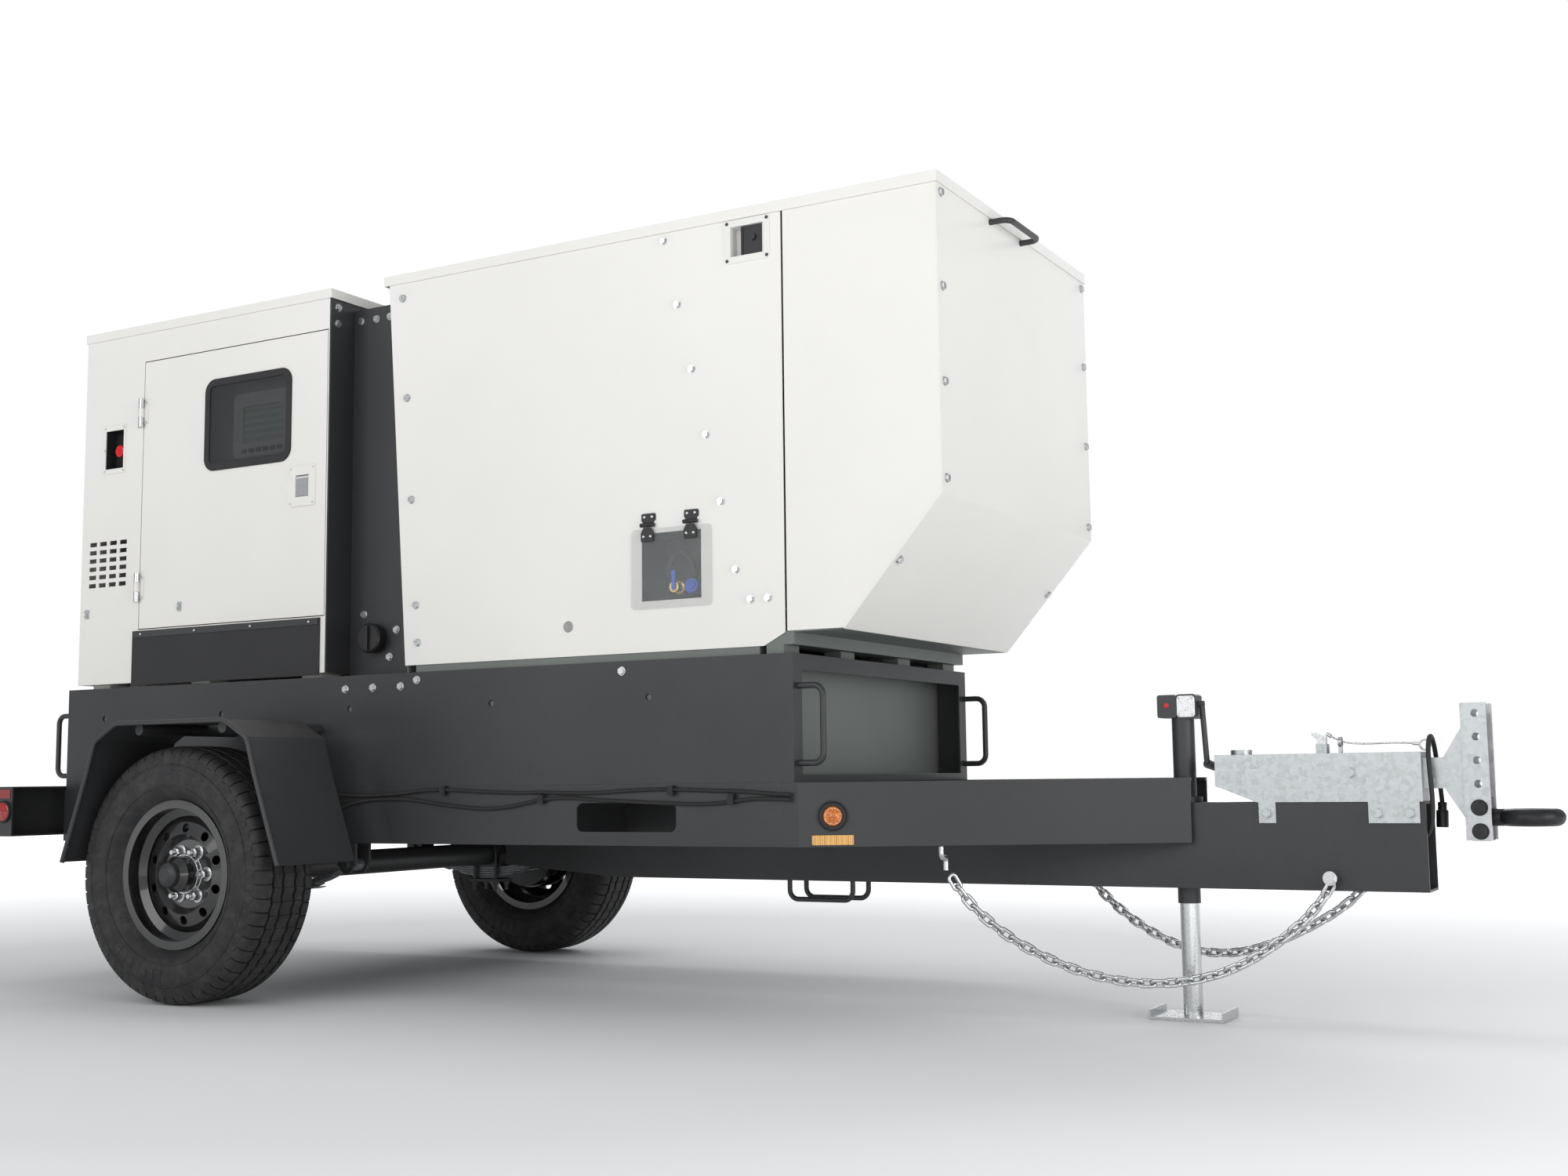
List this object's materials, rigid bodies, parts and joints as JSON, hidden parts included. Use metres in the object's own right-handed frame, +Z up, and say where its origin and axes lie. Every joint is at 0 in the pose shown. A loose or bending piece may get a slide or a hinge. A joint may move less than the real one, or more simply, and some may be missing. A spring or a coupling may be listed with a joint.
{
  "type": "towable diesel generator",
  "caption": "Towable diesel generator: engine canopy and control cabinet on a fuel-tank base, on a leaf-sprung single-axle trailer with jack and surge coupler.",
  "frame": {"origin": "on the ground under the middle of the axle", "axes": "+X towards the hitch, +Y to the left side, +Z up"},
  "size_m": [4.495, 1.914, 2.133],
  "materials": {
    "white_paint": "off-white satin powder coat",
    "black_paint": "satin black powder coat",
    "dark_grey_paint": "dark grey satin paint",
    "wheel_paint": "gloss black wheel paint",
    "galvanised": "hot-dip galvanised steel",
    "zinc": "bright zinc plate",
    "tyre_rubber": "tyre rubber",
    "rubber": "black rubber",
    "black_plastic": "moulded black plastic",
    "clear_plastic": "clear polycarbonate",
    "smoked_glass": "smoked pane in a rubber frame",
    "lamp_plastic": "red and amber lenses",
    "red_plastic": "red push button",
    "engine_paint": "painted castings",
    "copper_grey": "radiator",
    "leaf_steel": "painted spring steel"
  },
  "bodies": {
    "trailer": {"actuator_body": "galvanised", "air_cleaner": "black_plastic", "alternator": "dark_grey_paint", "base_frame": "black_paint", "battery": "black_plastic", "brake_lead": "rubber", "breakaway_cable": "zinc", "cabinet_roof": "white_paint", "cable_curtain": "rubber", "control_cabinet": "white_paint", "control_panel": "dark_grey_paint", "enclosure_floor": "dark_grey_paint", "enclosure_roof": "white_paint", "engine_block": "engine_paint", "engine_skid": "black_paint", "fenders": "black_paint", "filler_neck": "black_paint", "flush_latch_cup": "white_paint", "frame_crossmembers": "black_paint", "frame_rail_left": "black_paint", "frame_rail_right": "black_paint", "front_panel": "white_paint", "fuel_tank": "dark_grey_paint", "grab_handles": "black_paint", "hinge_fixed_halves": "zinc", "intake_box": "black_paint", "jack_tube": "black_paint", "lamps": "lamp_plastic", "nose_cheeks": "white_paint", "panel_bolts": "zinc", "radiator": "copper_grey", "safety_chains": "zinc", "side_panel_left": "white_paint", "side_panel_right": "white_paint", "silencer": "galvanised", "spring_hangers": "black_paint", "tongue_beam": "black_paint", "wiring_harness": "rubber"},
    "axle": {"axle_beam": "black_paint", "leaf_springs": "leaf_steel"},
    "wheel_r": {"tyre_right": "tyre_rubber", "wheel_right": "wheel_paint"},
    "wheel_l": {"tyre_left": "tyre_rubber", "wheel_left": "wheel_paint"},
    "control_door_leaf": {"control_door": "white_paint", "door_window": "smoked_glass"},
    "door_paddle": {"door_latch_paddle": "zinc"},
    "service_door_leaf": {"service_door": "white_paint"},
    "service_paddle": {"service_latch_paddle": "white_paint"},
    "flap": {"access_flap": "clear_plastic"},
    "latch_paddle": {"flush_latch_paddle": "white_paint"},
    "filler_cap": {"fuel_cap": "black_plastic"},
    "stop_button": {"estop_button": "red_plastic"},
    "breaker": {"breaker_lever": "black_plastic"},
    "crankshaft_and_fan": {"cooling_fan": "black_plastic"},
    "jack_inner_leg": {"jack_leg": "zinc"},
    "jack_handle": {"jack_crank": "black_paint"},
    "coupler": {"coupler_slide": "galvanised", "lunette_ring": "black_paint"},
    "brake_lever": {"breakaway_lever": "zinc"}
  },
  "joints": [
    {"name": "suspension", "type": "slide", "parent": "trailer", "child": "axle", "axis": [0, 0, 1], "range_m": [-0.04, 0.02], "stiffness_N_per_m": 260000, "springref_m": -0.05, "deforming": ["leaf_springs"]},
    {"name": "wheel_right_spin", "type": "hinge", "parent": "axle", "child": "wheel_r", "pos_m": [0, -0.805, 0.359], "axis": [0, 1, 0], "continuous": true},
    {"name": "wheel_left_spin", "type": "hinge", "parent": "axle", "child": "wheel_l", "pos_m": [0, 0.805, 0.359], "axis": [0, 1, 0], "continuous": true},
    {"name": "control_door_swing", "type": "hinge", "parent": "trailer", "child": "control_door_leaf", "pos_m": [-0.5865, -0.545, 1.536], "axis": [0, 0, -1], "range_deg": [0, 120]},
    {"name": "control_door_latch", "type": "hinge", "parent": "control_door_leaf", "child": "door_paddle", "pos_m": [0.112, -0.532, 1.526], "axis": [-1, 0, 0], "range_deg": [0, 50]},
    {"name": "service_door_swing", "type": "hinge", "parent": "trailer", "child": "service_door_leaf", "pos_m": [0.6385, 0.545, 1.485], "axis": [0, 0, 1], "range_deg": [0, 120]},
    {"name": "service_door_latch", "type": "hinge", "parent": "service_door_leaf", "child": "service_paddle", "pos_m": [1.435, 0.528, 1.5], "axis": [0, 0, -1], "range_deg": [0, 35]},
    {"name": "side_latch", "type": "hinge", "parent": "trailer", "child": "latch_paddle", "pos_m": [1.717, -0.528, 2.005], "axis": [0, 0, 1], "range_deg": [0, 35]},
    {"name": "access_flap_lift", "type": "hinge", "parent": "trailer", "child": "flap", "pos_m": [1.4315, -0.541, 1.277], "axis": [-1, 0, 0], "range_deg": [0, 150]},
    {"name": "fuel_cap_turn", "type": "hinge", "parent": "trailer", "child": "filler_cap", "pos_m": [0.319, -0.455, 1.034], "axis": [0, 1, 0], "range_deg": [0, 90]},
    {"name": "stop_button_press", "type": "slide", "parent": "trailer", "child": "stop_button", "axis": [0, 1, 0], "range_m": [0, 0.004]},
    {"name": "breaker_throw", "type": "hinge", "parent": "trailer", "child": "breaker", "pos_m": [-0.09, -0.484, 1.355], "axis": [1, 0, 0], "range_deg": [0, 40]},
    {"name": "crankshaft_turn", "type": "hinge", "parent": "trailer", "child": "crankshaft_and_fan", "pos_m": [1.3, 0, 1.33], "axis": [1, 0, 0], "continuous": true},
    {"name": "jack_leg_slide", "type": "slide", "parent": "trailer", "child": "jack_inner_leg", "axis": [0, 0, 1], "range_m": [0, 0.22]},
    {"name": "jack_crank_turn", "type": "hinge", "parent": "trailer", "child": "jack_handle", "pos_m": [2.624, 0, 0.779], "axis": [1, 0, 0], "range_deg": [0, 3960]},
    {"name": "surge_slide", "type": "slide", "parent": "trailer", "child": "coupler", "axis": [-1, 0, 0], "range_m": [0, 0.04]},
    {"name": "breakaway_pull", "type": "hinge", "parent": "trailer", "child": "brake_lever", "pos_m": [2.967, 0, 0.66], "axis": [0, 1, 0], "range_deg": [0, 35], "deforming": ["breakaway_cable"]}
  ],
  "couplings": [
    {"joint": "jack_crank_turn", "follows": "jack_leg_slide", "rad_per_m": 314.16}
  ]
}
